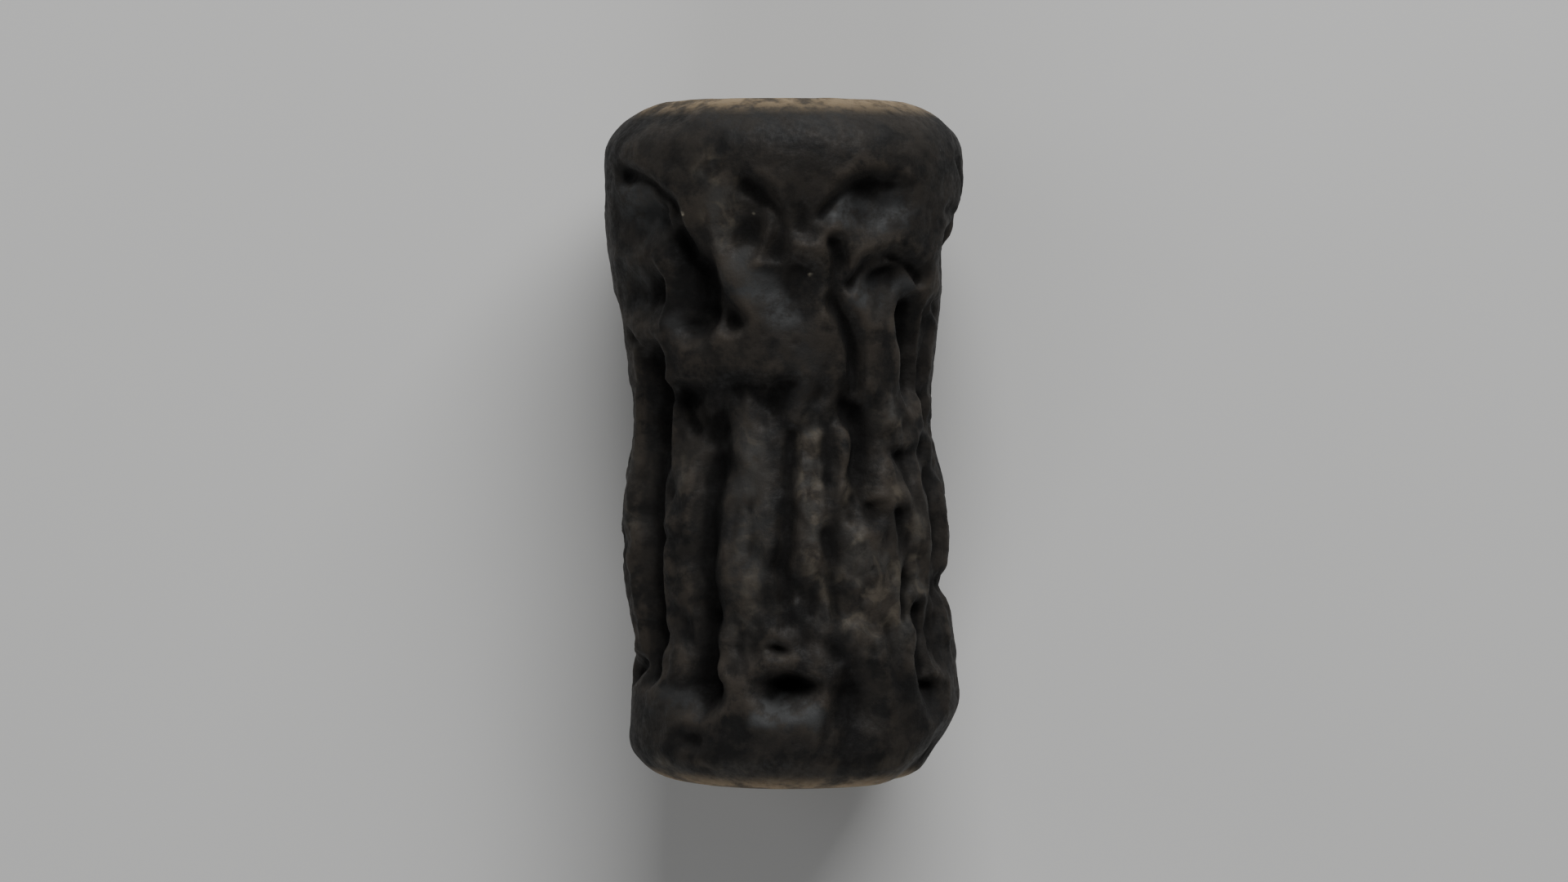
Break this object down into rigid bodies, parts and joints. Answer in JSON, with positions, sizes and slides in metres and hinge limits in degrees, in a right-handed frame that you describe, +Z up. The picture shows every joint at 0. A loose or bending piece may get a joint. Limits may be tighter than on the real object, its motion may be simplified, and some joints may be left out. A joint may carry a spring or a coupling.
{
  "type": "cylinder seal",
  "caption": "Small worn cylinder seal of black stone, lying on its side, pierced lengthwise and deeply cut with robed figures between two plain rims.",
  "frame": {"origin": "centre of the footprint, on the surface that the seal lies on", "axes": "+Z up, out of the side that faces the viewer; +Y along the seal to its wider upper end; +X to the viewer's right"},
  "size_m": [0.011, 0.0208, 0.0108],
  "materials": {
    "black_stone": "satin"
  },
  "bodies": {
    "root": {"seal_stone": "black_stone"}
  },
  "joints": []
}
